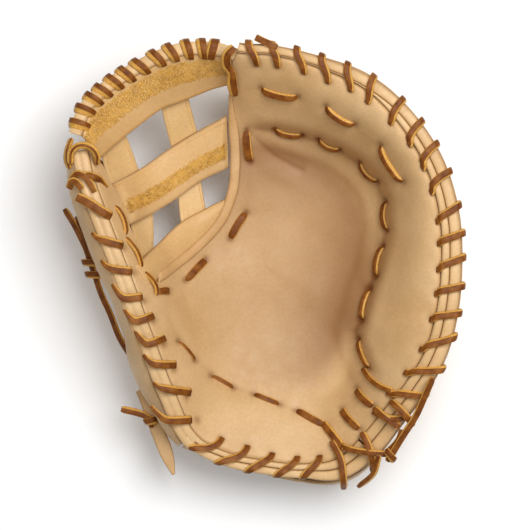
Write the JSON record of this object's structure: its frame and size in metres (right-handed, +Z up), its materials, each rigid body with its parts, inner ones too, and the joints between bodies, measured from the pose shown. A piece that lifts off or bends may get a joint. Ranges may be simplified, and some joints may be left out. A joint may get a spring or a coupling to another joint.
{
  "type": "first baseman mitt",
  "caption": "Laced leather first baseman's mitt lying on its back, deep pocket up, with a barred web between thumb and finger side.",
  "frame": {"origin": "on the surface it lies on, under the middle of its bounding box", "axes": "+Z up out of the pocket, +Y from the heel to the tips, +X from the thumb towards the little finger"},
  "size_m": [0.2846, 0.3246, 0.1265],
  "materials": {
    "palm": "tan cowhide, slightly waxed, lightly creased",
    "back": "tan cowhide, satin",
    "binding": "pale tan cowhide, rolled, satin",
    "web": "tan cowhide, satin, with yellow stitching",
    "lace": "reddish brown rawhide lace with tan cut edges, satin"
  },
  "bodies": {
    "root": {"corner_lace_end": "lace", "corner_lace_heel": "lace", "corner_lace_lower": "lace", "corner_lace_middle": "lace", "corner_lace_upper": "lace", "crease_lace_1": "lace", "crease_lace_10": "lace", "crease_lace_11": "lace", "crease_lace_12": "lace", "crease_lace_13": "lace", "crease_lace_14": "lace", "crease_lace_15": "lace", "crease_lace_16": "lace", "crease_lace_17": "lace", "crease_lace_18": "lace", "crease_lace_19": "lace", "crease_lace_2": "lace", "crease_lace_20": "lace", "crease_lace_3": "lace", "crease_lace_4": "lace", "crease_lace_5": "lace", "crease_lace_6": "lace", "crease_lace_7": "lace", "crease_lace_8": "lace", "crease_lace_9": "lace", "crotch_binding": "binding", "finger_back": "back", "finger_binding_inner": "binding", "finger_binding_outer": "binding", "finger_joint_lace": "lace", "finger_lace": "lace", "heel_binding_inner": "binding", "heel_binding_outer": "binding", "heel_lace": "lace", "long_strap": "lace", "palm": "palm", "strap_lace_end": "lace", "strap_tab": "back", "thumb_back": "back", "thumb_binding": "binding", "thumb_lace": "lace", "thumb_loop_lower": "lace", "thumb_loop_middle": "lace", "thumb_loop_upper": "lace", "thumb_strand": "lace", "thumb_strand_short": "lace", "thumb_tip_lace_inner": "lace", "thumb_tip_lace_outer": "lace", "web_bottom_bar": "web", "web_lace": "lace", "web_middle_bar": "web", "web_post_lower_left": "web", "web_post_lower_right": "web", "web_post_upper_left": "web", "web_post_upper_right": "web", "web_top_bar": "web", "web_top_binding": "binding", "wrist_strap": "back"}
  },
  "joints": []
}
